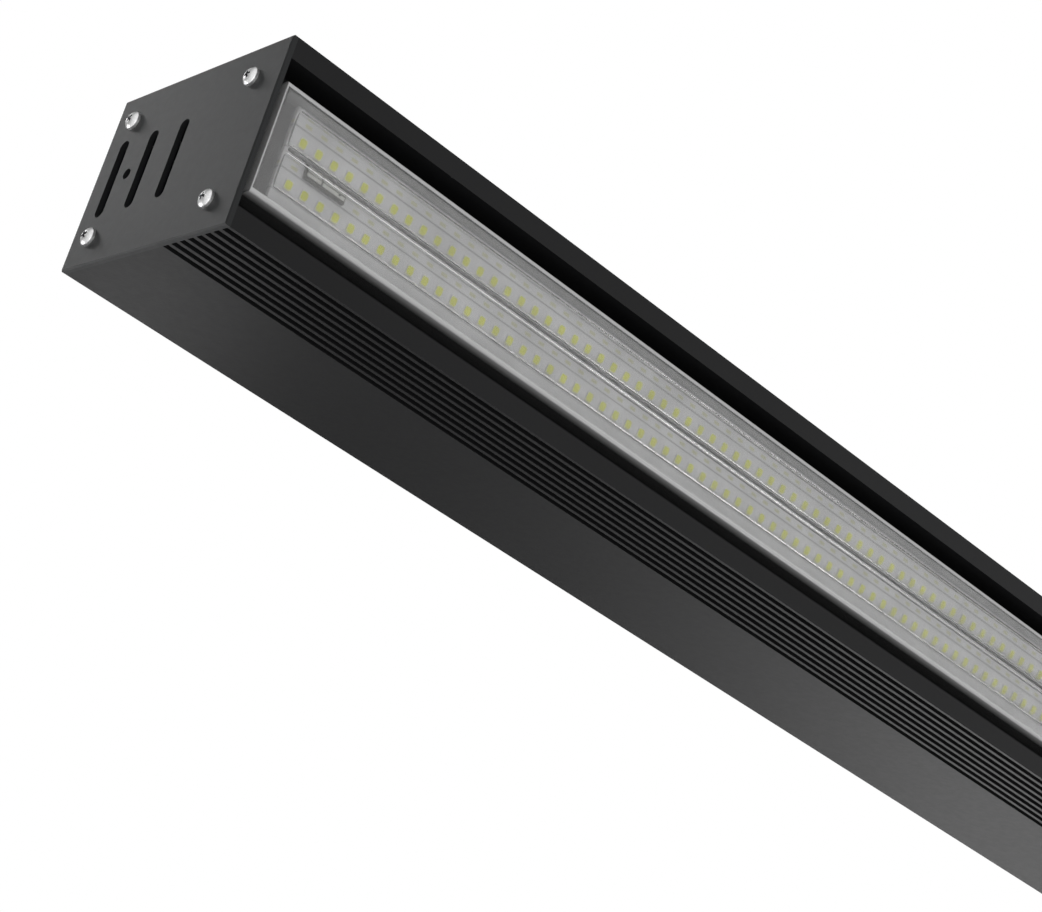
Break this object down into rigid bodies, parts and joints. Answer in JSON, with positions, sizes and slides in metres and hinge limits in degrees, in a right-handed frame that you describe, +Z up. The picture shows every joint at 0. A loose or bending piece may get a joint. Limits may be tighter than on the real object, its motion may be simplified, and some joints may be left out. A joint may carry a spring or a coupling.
{
  "type": "linear high bay light",
  "caption": "Linear high bay light: finned black extrusion with a flat clear lens over twin LED rows, a driver bay, slotted end plates and a top rail for hanging.",
  "frame": {"origin": "centre of the lower rim, where the light would rest on a surface", "axes": "+X along the light towards its cable entry, +Z up towards the hanging rail, lens facing -Z"},
  "size_m": [0.6048, 0.07, 0.091],
  "materials": {
    "black_powder_coat": "satin black powder coat on extruded aluminium",
    "black_plate_coat": "satin black powder coat on the end plates",
    "zinc_steel": "bright zinc plated steel",
    "thermal_pad": "matt grey silicone pad",
    "board_mask": "white solder mask on an aluminium board",
    "led_phosphor": "yellow phosphor in a white case",
    "white_nylon": "white nylon",
    "clear_cover": "clear polycarbonate with a fine frost on its inner face",
    "galvanised_steel": "galvanised sheet",
    "driver_case": "plain aluminium",
    "black_rubber": "matt black rubber",
    "grey_polyamide": "grey polyamide",
    "brass_stud": "plain brass"
  },
  "bodies": {
    "root": {"housing_extrusion": "black_powder_coat", "end_plate_near": "black_plate_coat", "end_plate_far": "black_plate_coat", "end_plate_screws": "zinc_steel", "thermal_pad": "thermal_pad", "led_board": "board_mask", "led_row_left": "led_phosphor", "led_row_right": "led_phosphor", "board_connector": "white_nylon", "lens_cover": "clear_cover", "driver_tray": "galvanised_steel", "driver_case": "driver_case", "driver_lid": "driver_case", "driver_output_terminal": "grey_polyamide", "driver_input_terminal": "grey_polyamide", "tray_screws": "zinc_steel", "mains_terminal": "grey_polyamide", "earth_stud": "brass_stud", "earth_nut": "brass_stud", "cable_grommet": "black_rubber", "suspension_nut_near": "zinc_steel", "suspension_nut_far": "zinc_steel", "lead_grommet": "black_rubber"}
  },
  "joints": []
}
